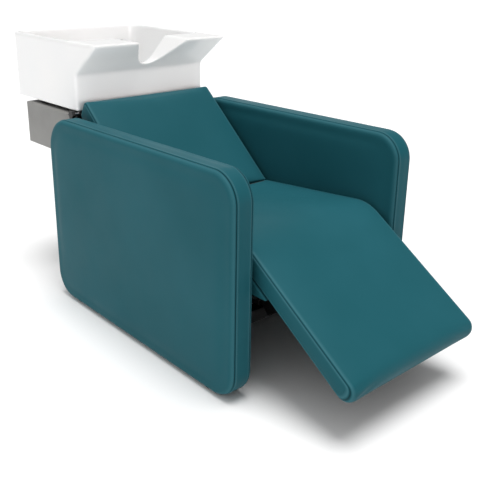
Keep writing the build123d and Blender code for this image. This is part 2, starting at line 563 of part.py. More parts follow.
# ---------------------------------------------------------------- basin
TAIL_BOTTOM_H = 600.0
BOSS_R = 55.0
with BuildPart() as basin:
    with BuildSketch(SIDE) as basin_profile:
        Polygon((BASIN_BACK_Y, BASIN_BOTTOM_H), (BASIN_BACK_Y, BASIN_RIM_H), (BASIN_TIP_Y, BASIN_TIP_H),
                (BASIN_TIP_Y, BASIN_TIP_H - BASIN_LIP), (BASIN_FRONT_Y, BASIN_SLANT_H),
                (BASIN_FRONT_Y, BASIN_BOTTOM_H), align=None)
    extrude(amount=BASIN_WIDTH / 2, both=True)
    fillet(basin.edges().filter_by(Axis.Z).group_by(SortBy.LENGTH)[-1], 16.0)
    bowl_top = BASIN_RIM_H - BOWL_FLOOR_H
    with BuildSketch(LEVEL.offset(BASIN_RIM_H)) as bowl_mouth:
        with Locations((0, (BOWL_FRONT_Y + BASIN_BACK_Y - BASIN_WALL) / 2)):
            RectangleRounded(BASIN_WIDTH - 2 * BASIN_WALL, BASIN_BACK_Y - BASIN_WALL - BOWL_FRONT_Y, 30.0)
    extrude(amount=-bowl_top, taper=BOWL_TAPER, mode=Mode.SUBTRACT)
    slope = radians(NOTCH_SLOPE)
    knee = (NOTCH_R * sin(slope), NOTCH_BOTTOM_H + NOTCH_R * (1 - cos(slope)))
    top_x = knee[0] + (BASIN_RIM_H + 5 - knee[1]) / tan(slope)
    NOTCH_PLANE = Plane(origin=world(0, BASIN_TIP_Y - 5, 0), x_dir=(1, 0, 0), z_dir=(0, -1, 0))
    with BuildSketch(NOTCH_PLANE) as notch_profile:
        with BuildLine():
            ThreePointArc((-knee[0], knee[1]), (0, NOTCH_BOTTOM_H), knee)
            Polyline(knee, (top_x, BASIN_RIM_H + 5), (-top_x, BASIN_RIM_H + 5), (-knee[0], knee[1]))
        make_face()
    extrude(amount=-(BOWL_FRONT_Y + 60 - BASIN_TIP_Y), mode=Mode.SUBTRACT)
    block((-BASIN_WIDTH / 2 + BASIN_WALL, BASIN_WIDTH / 2 - BASIN_WALL),
          (BASIN_FRONT_Y + BASIN_WALL, BASIN_BACK_Y - BASIN_WALL),
          (BASIN_BOTTOM_H - 1, BOWL_FLOOR_H - CERAMIC), Mode.SUBTRACT)
    post(0, DRAIN_Y, (BASIN_BOTTOM_H, BOWL_FLOOR_H - CERAMIC + 1), BOSS_R)
    for x in BASIN_BOLT_X:
        for y in BASIN_BOLT_Y:
            post(x, y, (BASIN_BOTTOM_H, BOWL_FLOOR_H - CERAMIC + 1), 22.0)
            post(x, y, (BASIN_BOTTOM_H - 1, BASIN_BOTTOM_H + 32), BOLT_R + 0.25, Mode.SUBTRACT)
    post(0, DRAIN_Y, (BASIN_BOTTOM_H - 1, BOWL_FLOOR_H + 1), DRAIN_R, Mode.SUBTRACT)
    post(0, DRAIN_Y, (BOWL_FLOOR_H - 3, BOWL_FLOOR_H + 1), 36.0, Mode.SUBTRACT)
    HOSE_X, HOSE_H = 185.0, 812.0
    WEB_Y = (BASIN_BACK_Y - 28, BASIN_BACK_Y - 14)
    spigot(HOSE_X, (WEB_Y[0] - 40, WEB_Y[0]), HOSE_H, 26.0, Mode.SUBTRACT)
    spigot(HOSE_X, (WEB_Y[0] - 1, BASIN_BACK_Y + 1), HOSE_H, 14.2, Mode.SUBTRACT)
    spigot(HOSE_X, (WEB_Y[1], BASIN_BACK_Y + 1), HOSE_H, 27.0, Mode.SUBTRACT)
save(basin, "basin")

HOSE_TAIL_R = 13.0
with BuildPart() as hose_outlet:
    spigot(HOSE_X, (WEB_Y[0] - 6, WEB_Y[0]), HOSE_H, 25.0)
    fillet(hose_outlet.edges().filter_by(GeomType.CIRCLE).group_by(Axis.Y)[0], 4.0)
    spigot(HOSE_X, (WEB_Y[0], BASIN_BACK_Y - 8.5), HOSE_H, 14.0)
    spigot(HOSE_X, (BASIN_BACK_Y - 9, BASIN_BACK_Y - 1.5), HOSE_H, HOSE_TAIL_R)
    spigot(HOSE_X, (WEB_Y[0] - 7, BASIN_BACK_Y), HOSE_H, 11.0, Mode.SUBTRACT)
save(hose_outlet, "hose_outlet")

with BuildPart() as hose_outlet_nut:
    spigot(HOSE_X, (WEB_Y[1], WEB_Y[1] + 5), HOSE_H, 19.0)
    spigot(HOSE_X, (WEB_Y[1] - 1, BASIN_BACK_Y), HOSE_H, 14.0, Mode.SUBTRACT)
save(hose_outlet_nut, "hose_outlet_nut")

with BuildPart() as basin_plate:
    block((-256.0, 256.0), (PIVOT_Y - 8, 1335.0), (BASIN_BOTTOM_H - PLATE, BASIN_BOTTOM_H))
    for x_span in both_sides(PLATE_EAR_X):
        plate(x_span, [(PIVOT_Y - 4, PIVOT_H - 9), (PIVOT_Y + 4, PIVOT_H - 9), (PIVOT_Y + 9, PIVOT_H - 4),
                       (PIVOT_Y + 9, BASIN_BOTTOM_H - PLATE), (PIVOT_Y - 8, BASIN_BOTTOM_H - PLATE),
                       (PIVOT_Y - 9, PIVOT_H - 4)])
    pin((-262, 262), PIVOT_Y, PIVOT_H, PIN_R, Mode.SUBTRACT)
    post(0, DRAIN_Y, (BASIN_BOTTOM_H - 10, BASIN_BOTTOM_H + 1), 45.0, Mode.SUBTRACT)
    for x in BASIN_BOLT_X:
        for y in BASIN_BOLT_Y:
            post(x, y, (BASIN_BOTTOM_H - 10, BASIN_BOTTOM_H + 1), BOLT_R + 0.25, Mode.SUBTRACT)
save(basin_plate, "basin_plate")

with BuildPart() as basin_bolts:
    for x in BASIN_BOLT_X:
        for y in BASIN_BOLT_Y:
            post(x, y, (BASIN_BOTTOM_H - PLATE - 5, BASIN_BOTTOM_H - PLATE), 6.5)
            post(x, y, (BASIN_BOTTOM_H - PLATE, BASIN_BOTTOM_H + 30), BOLT_R)
save(basin_bolts, "basin_bolts")

with BuildPart() as waste_body:
    post(0, DRAIN_Y, (BOWL_FLOOR_H - 3, BOWL_FLOOR_H), 35.0)
    post(0, DRAIN_Y, (TAIL_BOTTOM_H, BOWL_FLOOR_H - 3), DRAIN_R - 0.5)
    post(0, DRAIN_Y, (TAIL_BOTTOM_H - 1, BOWL_FLOOR_H + 1), DRAIN_R - 3.5, Mode.SUBTRACT)
save(waste_body, "waste_body")

for name, h_span in (("waste_gasket", (BASIN_BOTTOM_H - 4, BASIN_BOTTOM_H)),
                     ("waste_nut", (BASIN_BOTTOM_H - 16, BASIN_BOTTOM_H - 4))):
    with BuildPart() as ring:
        post(0, DRAIN_Y, h_span, 34.0)
        post(0, DRAIN_Y, (h_span[0] - 1, h_span[1] + 1), DRAIN_R - 0.5, Mode.SUBTRACT)
    save(ring, name)

HOSE_R = 24.0
with BuildPart() as waste_hose:
    post(0, DRAIN_Y, (HOSE_BOTTOM_H, TAIL_BOTTOM_H), HOSE_R)
    post(0, DRAIN_Y, (HOSE_BOTTOM_H - 1, TAIL_BOTTOM_H + 1), HOSE_R - 4, Mode.SUBTRACT)
save(waste_hose, "waste_hose")

DOME_R = 26.0
DOME_H = 12.0
with BuildPart() as strainer_dome:
    post(0, DRAIN_Y, (BOWL_FLOOR_H + 0.3, BOWL_FLOOR_H + DOME_H), DOME_R)
    fillet(strainer_dome.edges().filter_by(GeomType.CIRCLE).group_by(Axis.Z)[-1], 9.0)
    post(0, DRAIN_Y, (BOWL_FLOOR_H - 1, BOWL_FLOOR_H + DOME_H - 7), DOME_R - 3, Mode.SUBTRACT)
    post(0, DRAIN_Y, (BOWL_FLOOR_H + DOME_H - 8, BOWL_FLOOR_H + DOME_H - 3), DOME_R - 9, Mode.SUBTRACT)
    with Locations(world(0, DRAIN_Y, BOWL_FLOOR_H)):
        with PolarLocations(12.0, 10):
            Cylinder(2.2, 30, mode=Mode.SUBTRACT)
save(strainer_dome, "strainer_dome")

# ---------------------------------------------------------------- tilt shaft and clamp
KNOB_X = (-INNER_HALF + 2, -INNER_HALF + 15)
with BuildPart() as tilt_shaft:
    pin((KNOB_X[0] + 3, 258.0), PIVOT_Y, PIVOT_H, PIN_R)
save(tilt_shaft, "tilt_shaft")

with BuildPart() as tilt_knob:
    pin(KNOB_X, PIVOT_Y, PIVOT_H, 13.0)
    for turn in range(6):
        angle = radians(60 * turn)
        pin(KNOB_X, PIVOT_Y + 13 * cos(angle), PIVOT_H + 13 * sin(angle), 2.5)
    pin((KNOB_X[0] + 3 - 0.2, KNOB_X[1] + 1), PIVOT_Y, PIVOT_H, PIN_R + RUNNING, Mode.SUBTRACT)
save(tilt_knob, "tilt_knob")
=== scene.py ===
"""Looks of the shampoo backwash unit: upholstery, ceramic basin, finishes, studio light and camera."""
import json
import math

import bmesh
import bpy
import numpy as np
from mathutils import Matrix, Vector


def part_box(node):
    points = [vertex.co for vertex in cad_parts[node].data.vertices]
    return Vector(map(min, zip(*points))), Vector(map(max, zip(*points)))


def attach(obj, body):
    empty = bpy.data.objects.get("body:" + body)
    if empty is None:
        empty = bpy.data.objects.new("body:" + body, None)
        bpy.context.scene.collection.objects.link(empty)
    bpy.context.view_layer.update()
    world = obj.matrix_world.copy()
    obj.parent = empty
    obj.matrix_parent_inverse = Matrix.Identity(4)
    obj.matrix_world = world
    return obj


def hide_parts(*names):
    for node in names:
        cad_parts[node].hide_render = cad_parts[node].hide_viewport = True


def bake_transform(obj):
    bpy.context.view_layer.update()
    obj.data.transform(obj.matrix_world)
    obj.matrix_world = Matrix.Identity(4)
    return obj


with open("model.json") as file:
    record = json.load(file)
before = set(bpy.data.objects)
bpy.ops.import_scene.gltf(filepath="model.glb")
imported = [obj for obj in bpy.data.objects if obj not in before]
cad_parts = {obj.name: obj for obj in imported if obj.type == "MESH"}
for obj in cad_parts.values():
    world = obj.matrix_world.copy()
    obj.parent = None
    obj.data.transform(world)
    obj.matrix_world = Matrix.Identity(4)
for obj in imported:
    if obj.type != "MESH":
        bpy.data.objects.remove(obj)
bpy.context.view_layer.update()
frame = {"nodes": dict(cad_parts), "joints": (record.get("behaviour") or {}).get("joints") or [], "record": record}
scene = bpy.context.scene

# ---------------------------------------------------------------- stations shared with the CAD part (mm)
arm_low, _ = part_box("arm_cover_right")
ARM_LENGTH, ARM_HEIGHT, ARM_THICK = 955.0, 646.0, 75.0
PAD_WIDTH, PAD_THICK = 536.0, 60.0
BEND, CREASE, BACK_TOP = (72.0, 434.0), (528.0, 399.0), (864.0, 693.0)
LEG_LENGTH = 482.0
lift = next(joint for joint in frame["joints"] if joint["name"] == "legrest_lift")
hinge = Vector(lift["pos_m"])
HINGE = ((hinge.y - arm_low.y) * 1000, (hinge.z - arm_low.z) * 1000)
DROP = math.radians(34.0)
RISE = math.atan2(BEND[1] - CREASE[1], CREASE[0] - BEND[0])
LEAN = math.atan2(BACK_TOP[1] - CREASE[1], BACK_TOP[0] - CREASE[0])


def leg_point(along, above):
    return (HINGE[0] - along * math.cos(DROP) - above * math.sin(DROP),
            HINGE[1] - along * math.sin(DROP) + above * math.cos(DROP))


def seat_point(along, above):
    return (HINGE[0] + along * math.cos(RISE) + above * math.sin(RISE),
            HINGE[1] - along * math.sin(RISE) + above * math.cos(RISE))


def back_point(along, above):
    return (CREASE[0] + along * math.cos(LEAN) - above * math.sin(LEAN),
            CREASE[1] + along * math.sin(LEAN) + above * math.cos(LEAN))


# ---------------------------------------------------------------- camera
AZIMUTH, ELEVATION, DISTANCE = math.radians(-39.84), math.radians(19.09), 2.389
CAMERA_TARGET = Vector((-0.007, 0.0, 0.353))
LENS, SHIFT_X, SHIFT_Y = 50.84, 0.079, -0.08


def add_object(name, data):
    obj = bpy.data.objects.new(name, data)
    scene.collection.objects.link(obj)
    return obj


camera_data = bpy.data.cameras.new("camera")
camera = add_object("camera", camera_data)
away = Vector((math.sin(AZIMUTH) * math.cos(ELEVATION), -math.cos(AZIMUTH) * math.cos(ELEVATION),
               math.sin(ELEVATION)))
camera.location = CAMERA_TARGET + away * DISTANCE
camera.rotation_euler = away.to_track_quat("Z", "Y").to_euler()
camera_data.lens = LENS
camera_data.shift_x = SHIFT_X
camera_data.shift_y = SHIFT_Y
scene.camera = camera


# ---------------------------------------------------------------- node helpers
MIX_SHARE, MIX_A, MIX_B, MIX_RESULT = 0, 6, 7, 2  # sockets of a Mix node that mixes colours


def new_material(name, base, roughness, metallic=0.0, coat=0.0, specular=0.5):
    material = bpy.data.materials.new(name)
    material.use_nodes = True
    shader = material.node_tree.nodes["Principled BSDF"]
    shader.inputs["Base Color"].default_value = (*base, 1)
    shader.inputs["Roughness"].default_value = roughness
    shader.inputs["Metallic"].default_value = metallic
    shader.inputs["Coat Weight"].default_value = coat
    shader.inputs["Specular IOR Level"].default_value = specular
    return material, shader


def add_node(material, kind, links=(), **values):
    """A node with its input values set, linked from (input name, source socket) pairs."""
    node = material.node_tree.nodes.new(kind)
    for key, value in values.items():
        if key in node.inputs:
            node.inputs[key].default_value = value
        else:
            setattr(node, key, value)
    for name, socket in links:
        material.node_tree.links.new(socket, node.inputs[name])
    return node


def texture(material, kind, scale, **values):
    place = add_node(material, "ShaderNodeTexCoord").outputs["Object"]
    return add_node(material, kind, [("Vector", place)], Scale=scale, **values)


def ramp(material, factor, *stops):
    node = add_node(material, "ShaderNodeValToRGB", [("Fac", factor)])
    elements = node.color_ramp.elements
    while len(elements) < len(stops):
        elements.new(0.5)
    for element, (position, colour) in zip(elements, stops):
        element.position = position
        element.color = (*colour, 1)
    return node.outputs["Color"]


def grey(value):
    return (value, value, value)


def link(material, source, shader, name):
    material.node_tree.links.new(source, shader.inputs[name])


def vary(material, shader, name, factor, low, high):
    """Runs one input of the shader between two colours with a texture."""
    link(material, ramp(material, factor, (0.3, low), (0.7, high)), shader, name)


def bump(material, shader, height, strength, distance, normal=None):
    extra = [("Height", height)] + ([("Normal", normal)] if normal else [])
    node = add_node(material, "ShaderNodeBump", extra, Strength=strength, Distance=distance)
    link(material, node.outputs["Normal"], shader, "Normal")
    return node.outputs["Normal"]


# Painted highlight colour, mixed into the upholstery along the seam ridges.
SHEEN = (0.07, 0.2, 0.235)
# Painted shade colour, multiplied into the upholstery in the seam grooves.
SEAM_SHADE = (0.1, 0.14, 0.16)


def leatherette(name, deep, mid, light):
    """Smooth coated upholstery: slow tone changes, a fine pebble and soft wrinkles.

    Where the seam shading attribute is above 0 the colour is darkened with painted shade, as in a groove, and
    below 0 lightened with a painted highlight, as on a lit ridge.
    """
    material, shader = new_material(name, mid, 0.45, specular=0.06)
    tone = texture(material, "ShaderNodeTexNoise", 2.6, Detail=3.0, Roughness=0.55)
    colour = ramp(material, tone.outputs["Fac"], (0.32, deep), (0.5, mid), (0.68, light))
    seam = add_node(material, "ShaderNodeAttribute", attribute_name="seam").outputs["Fac"]
    ridge_highlight = add_node(material, "ShaderNodeMath", [("Value", seam)], operation="MULTIPLY").outputs["Value"]
    ridge_highlight.node.inputs[1].default_value = -1.0
    # Painted highlight where the seam shading is below 0, then painted shade where it is above 0.
    for share, blend, tint in ((ridge_highlight, "MIX", SHEEN), (seam, "MULTIPLY", SEAM_SHADE)):
        layer = add_node(material, "ShaderNodeMix", data_type="RGBA", blend_type=blend)
        layer.clamp_factor = True
        link(material, share, layer, MIX_SHARE)
        link(material, colour, layer, MIX_A)
        layer.inputs[MIX_B].default_value = (*tint, 1)
        colour = layer.outputs[MIX_RESULT]
    link(material, colour, shader, "Base Color")
    gloss = texture(material, "ShaderNodeTexNoise", 7.0, Detail=4.0)
    vary(material, shader, "Roughness", gloss.outputs["Fac"], grey(0.4), grey(0.5))
    wrinkle = texture(material, "ShaderNodeTexNoise", 16.0, Detail=2.5, Roughness=0.45)
    broad = bump(material, shader, wrinkle.outputs["Fac"], 0.10, 0.004)
    pebble = texture(material, "ShaderNodeTexVoronoi", 760.0, feature="SMOOTH_F1", Smoothness=0.6)
    bump(material, shader, pebble.outputs["Distance"], 0.10, 0.0004, broad)
    return material


def painted(name, base, roughness, grain, strength):
    """Powder coat or moulded plastic: small tone changes and an orange-peel grain."""
    material, shader = new_material(name, base, roughness)
    tone = texture(material, "ShaderNodeTexNoise", 9.0, Detail=4.0)
    low, high = [tuple(c * k for c in base) for k in (0.9, 1.08)]
    vary(material, shader, "Base Color", tone.outputs["Fac"], low, high)
    peel = texture(material, "ShaderNodeTexNoise", grain, Detail=2.0)
    vary(material, shader, "Roughness", peel.outputs["Fac"], grey(roughness - 0.05), grey(roughness + 0.07))
    bump(material, shader, peel.outputs["Fac"], strength, 0.0006)
    return material


def metal(name, base, roughness, scratches):
    """Plated or polished metal with fine drawing marks."""
    material, shader = new_material(name, base, roughness, metallic=1.0)
    marks = texture(material, "ShaderNodeTexNoise", scratches, Detail=3.0)
    vary(material, shader, "Roughness", marks.outputs["Fac"], grey(roughness * 0.7), grey(roughness * 1.4))
    bump(material, shader, marks.outputs["Fac"], 0.04, 0.0003)
    return material


def plywood(name):
    """Sealed birch ply: long grain and fine plies seen on the edges."""
    material, shader = new_material(name, (0.55, 0.4, 0.26), 0.5)
    grain = texture(material, "ShaderNodeTexWave", 9.0, wave_type="RINGS", Distortion=6.0, Detail=3.0)
    colour = ramp(material, grain.outputs["Color"], (0.2, (0.46, 0.32, 0.19)), (0.8, (0.62, 0.47, 0.31)))
    link(material, colour, shader, "Base Color")
    pores = texture(material, "ShaderNodeTexNoise", 320.0, Detail=3.0)
    bump(material, shader, pores.outputs["Fac"], 0.12, 0.0005)
    return material


def ceramic(name):
    """Vitreous glaze: nearly even white, slight waviness in the gloss."""
    material, shader = new_material(name, (0.87, 0.87, 0.865), 0.12, specular=0.3)
    tone = texture(material, "ShaderNodeTexNoise", 5.0, Detail=2.0)
    vary(material, shader, "Base Color", tone.outputs["Fac"], (0.86, 0.865, 0.865), (0.885, 0.882, 0.876))
    wave = texture(material, "ShaderNodeTexNoise", 22.0, Detail=1.0)
    bump(material, shader, wave.outputs["Fac"], 0.03, 0.002)
    return material


TEAL_DEEP, TEAL, TEAL_LIGHT = (0.0135, 0.093, 0.114), (0.0155, 0.099, 0.122), (0.0175, 0.106, 0.131)
materials = {
    "upholstery": leatherette("upholstery", TEAL_DEEP, TEAL, TEAL_LIGHT),
    "plywood": plywood("plywood"),
    "frame_steel": painted("frame_steel", (0.018, 0.018, 0.019), 0.42, 700.0, 0.25),
    "fastener": metal("fastener", (0.58, 0.58, 0.6), 0.3, 260.0),
    "box_paint": painted("box_paint", (0.235, 0.232, 0.222), 0.48, 620.0, 0.2),
    "ceramic": ceramic("ceramic"),
    "chrome": metal("chrome", (0.82, 0.83, 0.85), 0.09, 140.0),
    "brass": metal("brass", (0.72, 0.53, 0.24), 0.26, 200.0),
    "black_plastic": painted("black_plastic", (0.014, 0.014, 0.015), 0.5, 900.0, 0.3),
    "button_plastic": painted("button_plastic", (0.42, 0.42, 0.41), 0.42, 900.0, 0.2),
    "white_plastic": painted("white_plastic", (0.7, 0.7, 0.68), 0.45, 800.0, 0.2),
    "rubber": painted("rubber", (0.02, 0.02, 0.02), 0.75, 1100.0, 0.35),
    "black_laminate": painted("black_laminate", (0.02, 0.02, 0.021), 0.55, 1000.0, 0.25),
    "lining": painted("lining", (0.016, 0.016, 0.017), 0.85, 1500.0, 0.5),
}
for part in frame["record"]["subparts"]:
    node = frame["nodes"][part["node"]]
    node.data.materials.clear()
    node.data.materials.append(materials[part["material_slot"]])
thread, thread_shader = new_material("thread", (0.022, 0.125, 0.15), 0.6)
twist = texture(thread, "ShaderNodeTexWave", 900.0, Distortion=1.0)
bump(thread, thread_shader, twist.outputs["Color"], 0.4, 0.0003)


# ---------------------------------------------------------------- outlines and swept covers
def rounded(corners, radii, angle_step=3.0):
    """Closed polygon with rounded corners as a dense list of points (mm)."""
    corners = [np.array(c, float) for c in corners]
    points = []
    for index, corner in enumerate(corners):
        before, after = corners[index - 1], corners[(index + 1) % len(corners)]
        into, out = corner - before, after - corner
        into, out = into / np.linalg.norm(into), out / np.linalg.norm(out)
        turn = math.atan2(into[0] * out[1] - into[1] * out[0], float(into @ out))
        reach = radii[index] * math.tan(abs(turn) / 2)
        side = math.copysign(1, turn)
        centre = corner - into * reach + side * radii[index] * np.array([-into[1], into[0]])
        start = corner - into * reach - centre
        steps = max(2, int(abs(math.degrees(turn)) / angle_step))
        for k in range(steps + 1):
            a = turn * k / steps
            points.append(centre + np.array([start[0] * math.cos(a) - start[1] * math.sin(a),
                                             start[0] * math.sin(a) + start[1] * math.cos(a)]))
    return np.array(points)


def halves(dense, first, second, step, turn_step=math.radians(9)):
    """Samples of a closed outline in two halves of equal count, starting nearest first and second."""
    first_at, second_at = [int(np.argmin(np.linalg.norm(dense - np.array(spot), axis=1)))
                           for spot in (first, second)]
    dense = np.roll(dense, -first_at, axis=0)
    second_at = (second_at - first_at) % len(dense)
    closed = np.vstack([dense, dense[:1]])
    legs = np.diff(closed, axis=0)
    heading = np.unwrap(np.arctan2(legs[:, 1], legs[:, 0]))
    bend = np.abs(np.diff(np.append(heading, heading[0] + 2 * math.pi * np.sign(heading[-1] - heading[0]))))
    weight = np.linalg.norm(legs, axis=1) / step + np.minimum(bend, 0.2) / turn_step
    total = np.concatenate([[0], np.cumsum(weight)])
    count = int(math.ceil(max(total[second_at], total[-1] - total[second_at])))
    marks = np.concatenate([np.linspace(0, total[second_at], count, endpoint=False),
                            np.linspace(total[second_at], total[-1], count, endpoint=False)])
    points = np.stack([np.interp(marks, total, closed[:, axis]) for axis in (0, 1)], axis=1)
    tangent = np.roll(points, -1, axis=0) - np.roll(points, 1, axis=0)
    tangent /= np.linalg.norm(tangent, axis=1)[:, None]
    outward = np.stack([tangent[:, 1], -tangent[:, 0]], axis=1)
    area = np.sum(points[:, 0] * np.roll(points[:, 1], -1) - np.roll(points[:, 0], -1) * points[:, 1])
    return points, outward if area > 0 else -outward


def face_outward(mesh):
    """Turns every face outward and shades the mesh smooth."""
    work = bmesh.new()
    work.from_mesh(mesh)
    bmesh.ops.recalc_face_normals(work, faces=work.faces)
    work.to_mesh(mesh)
    work.free()
    mesh.shade_smooth()


def apply_modifier(obj, modifier):
    bpy.context.view_layer.objects.active = obj
    with bpy.context.temp_override(object=obj, active_object=obj, selected_objects=[obj]):
        bpy.ops.object.modifier_apply(modifier=modifier.name)


def build(name, rings, seam_rings, material):
    """Closed mesh through rings of points (N x 3, metres), its two end rings zipped shut across."""
    count = len(rings[0])
    mesh = bpy.data.meshes.new(name)
    vertices = np.vstack(rings)
    faces = []
    for r in range(len(rings) - 1):
        for k in range(count):
            n = (k + 1) % count
            faces.append((r * count + k, r * count + n, (r + 1) * count + n, (r + 1) * count + k))
    for base, flip in ((0, True), ((len(rings) - 1) * count, False)):
        for k in range(count // 2):
            quad = [base + k, base + k + 1, base + (count - k - 1) % count, base + (count - k) % count]
            quad = list(dict.fromkeys(quad))
            if len(quad) > 2:
                faces.append(tuple(reversed(quad)) if flip else tuple(quad))
    mesh.from_pydata([tuple(v) for v in vertices], [], faces)
    # Seam shading per point: painted shade above 0, painted highlight below 0.
    seam = mesh.attributes.new("seam", "FLOAT", "POINT")
    marks = np.zeros((len(rings), count), np.float32)
    for r, value in seam_rings:
        marks[r] = value
    seam.data.foreach_set("value", marks.ravel())
    mesh.materials.append(material)
    mesh.materials.append(thread)
    obj = add_object(name, mesh)
    face_outward(mesh)
    return obj


def read(obj):
    flat = np.empty(len(obj.data.vertices) * 3)
    obj.data.vertices.foreach_get("co", flat)
    return flat.reshape(-1, 3)


def write(obj, points):
    obj.data.vertices.foreach_set("co", np.asarray(points, np.float32).ravel())
    obj.data.update()


def inflate(obj, pinned, crown, pressure=4.0, frames=20):
    """Cloth simulation of the filled cover: the pinned share stays, and no point moves past its crown (m)."""
    rest = read(obj)
    group = obj.vertex_groups.new(name="pin")
    for index in np.nonzero(pinned > 0)[0]:
        group.add([int(index)], float(pinned[index]), "REPLACE")
    cloth = obj.modifiers.new("Cloth", "CLOTH")
    settings = cloth.settings
    settings.quality = 5
    settings.mass = 0.25
    settings.tension_stiffness = settings.compression_stiffness = 12
    settings.shear_stiffness = 5
    settings.bending_stiffness = 1.5
    settings.use_pressure = True
    settings.uniform_pressure_force = pressure
    settings.effector_weights.gravity = 0
    settings.vertex_group_mass = "pin"
    cloth.collision_settings.use_collision = False
    cloth.point_cache.frame_end = frames
    for number in range(1, frames + 1):
        scene.frame_set(number)
    shaped = obj.evaluated_get(bpy.context.evaluated_depsgraph_get())
    moved = np.empty(len(rest) * 3)
    shaped.data.vertices.foreach_get("co", moved)
    moved = moved.reshape(-1, 3) - rest
    obj.modifiers.remove(cloth)
    scene.frame_set(1)
    length = np.linalg.norm(moved, axis=1)
    print(f"{obj.name}: simulated swell {length.max() * 1000:.1f} mm")
    limit = np.broadcast_to(crown, length.shape)
    scale = limit * np.tanh(length / np.maximum(limit, 1e-6)) / np.maximum(length, 1e-9)
    write(obj, rest + moved * scale[:, None])


def subdivide(obj, levels=1):
    smooth = obj.modifiers.new("Subdivision", "SUBSURF")
    smooth.levels = smooth.render_levels = levels
    apply_modifier(obj, smooth)
    obj.data.shade_smooth()


THREAD_SIDES = (0.0, 1.2566, 2.5133, 3.7699, 5.0265)


def stitches(obj, path, outward, pitch=0.0062, length=0.0044, radius=0.00045):
    """Adds a row of thread stitches to a cover along a closed path (N x 3, metres)."""
    closed = np.vstack([path, path[:1]])
    run = np.concatenate([[0], np.cumsum(np.linalg.norm(np.diff(closed, axis=0), axis=1))])
    up = np.vstack([outward, outward[:1]])
    count = int(run[-1] / pitch)
    starts = np.arange(count) * run[-1] / count
    work = bmesh.new()
    work.from_mesh(obj.data)
    for begin in starts:
        marks = begin + np.linspace(0, length, 5)
        line = np.stack([np.interp(marks, run, closed[:, a]) for a in range(3)], axis=1)
        high = np.stack([np.interp(marks, run, up[:, a]) for a in range(3)], axis=1)
        ahead = line[-1] - line[0]
        ahead /= np.linalg.norm(ahead)
        rows = []
        for share, point, normal in zip((0.0, 0.25, 0.5, 0.75, 1.0), line, high):
            arch = math.sin(math.pi * share)
            thick = radius * (0.35 + 0.65 * arch)
            across = np.cross(ahead, normal)
            centre = point + normal * radius * (arch * 1.2 - 0.5)
            rows.append([work.verts.new(centre + thick * (math.cos(a) * across + math.sin(a) * normal))
                         for a in THREAD_SIDES])
        for low, top in zip(rows, rows[1:]):
            for k in range(len(THREAD_SIDES)):
                n = (k + 1) % len(THREAD_SIDES)
                face = work.faces.new((low[k], low[n], top[n], top[k]))
                face.material_index = 1
                face.smooth = True
        for end in (tuple(reversed(rows[0])), tuple(rows[-1])):
            work.faces.new(end).material_index = 1
    work.to_mesh(obj.data)
    work.free()


def ring_at(points, outward, x, inset):
    """One ring of a cover: the outline drawn in by inset, at x across (mm in, metres out)."""
    flat = points - outward * inset
    across = np.full(len(flat), x / 1000)
    return np.stack([across, flat[:, 0] / 1000 + arm_low.y, flat[:, 1] / 1000 + arm_low.z], axis=1)


def toward(ring, spine, share, bulge=0.0):
    """A ring drawn part of the way in to its spine points."""
    inner = ring * (1 - share) + spine * share
    inner[:, 0] += bulge
    return inner


# ---------------------------------------------------------------- arms
ARM_EDGE = [(0.0, 26.0), (0.0, 18.0), (0.7, 11.6), (2.6, 6.4), (5.4, 2.8), (8.2, 1.0), (10.1, 0.8),
            (11.1, 2.8), (12.3, 2.8), (13.3, 0.2), (14.8, -1.0), (17.0, -1.0), (20.0, -0.2),
            (28.0, -0.9), (37.5, -1.3)]
# Seam shading per edge ring: painted shade in the groove above 0, painted highlight on the rolled edge below 0.
ARM_SEAM_SHADING = {3: -0.15, 4: -0.3, 5: -0.1, 6: 0.2, 7: 0.8, 8: 0.8, 9: 0.1, 10: -0.45, 11: -0.25}
ARM_STITCH_AT = 15.9
ARM_RADII = [84, 84, 112, 84]
ARM_STEP = 13.0
ARM_SWELL = 0.0045
ARM_SHARES = [0.04, 0.09, 0.15, 0.21, 0.28, 0.35, 0.42, 0.5, 0.58, 0.66, 0.74, 0.82, 0.9, 0.97]


def arm(name, node):
    """Slab cover swept across its thickness: two crowned faces and a stitched band between beaded edges."""
    outline = rounded([(0, 0), (ARM_LENGTH, 0), (ARM_LENGTH, ARM_HEIGHT), (0, ARM_HEIGHT)], ARM_RADII)
    points, outward = halves(outline, (ARM_LENGTH, ARM_HEIGHT / 2), (0, ARM_HEIGHT / 2), ARM_STEP)
    low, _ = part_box(node)
    edge = ARM_EDGE + [(ARM_THICK - x, d) for x, d in reversed(ARM_EDGE[:-1])]
    band = [ring_at(points, outward, low.x * 1000 + x, d) for x, d in edge]
    half = ARM_HEIGHT / 2
    along = np.clip(points[:, 0], half, ARM_LENGTH - half) / 1000 + arm_low.y
    spine = np.stack([np.zeros(len(points)), along, np.full(len(points), half / 1000 + arm_low.z)], axis=1)
    faces = []
    for ring in (band[0], band[-1]):
        middle = spine.copy()
        middle[:, 0] = ring[0, 0]
        faces.append([toward(ring, middle, share) for share in ARM_SHARES])
    rings = faces[0][::-1] + band + faces[1]
    lead = len(ARM_SHARES)
    shaded_rings = [(lead + k, v) for k, v in ARM_SEAM_SHADING.items()]
    shaded_rings += [(lead + len(edge) - 1 - k, v) for k, v in ARM_SEAM_SHADING.items()]
    cover = build(name, rings, shaded_rings, materials["upholstery"])
    pinned = np.ones((len(rings), len(points)))
    for r in range(lead - 1):
        pinned[r] = pinned[-1 - r] = 0.0
    pinned[lead - 1] = pinned[-lead] = 0.6
    inflate(cover, pinned.ravel(), ARM_SWELL)
    subdivide(cover)
    for x in (ARM_STITCH_AT, ARM_THICK - ARM_STITCH_AT):
        path = ring_at(points, outward, low.x * 1000 + x, -1.0)
        normal = np.stack([np.zeros(len(outward)), outward[:, 0], outward[:, 1]], axis=1)
        stitches(cover, path, normal)
    return cover


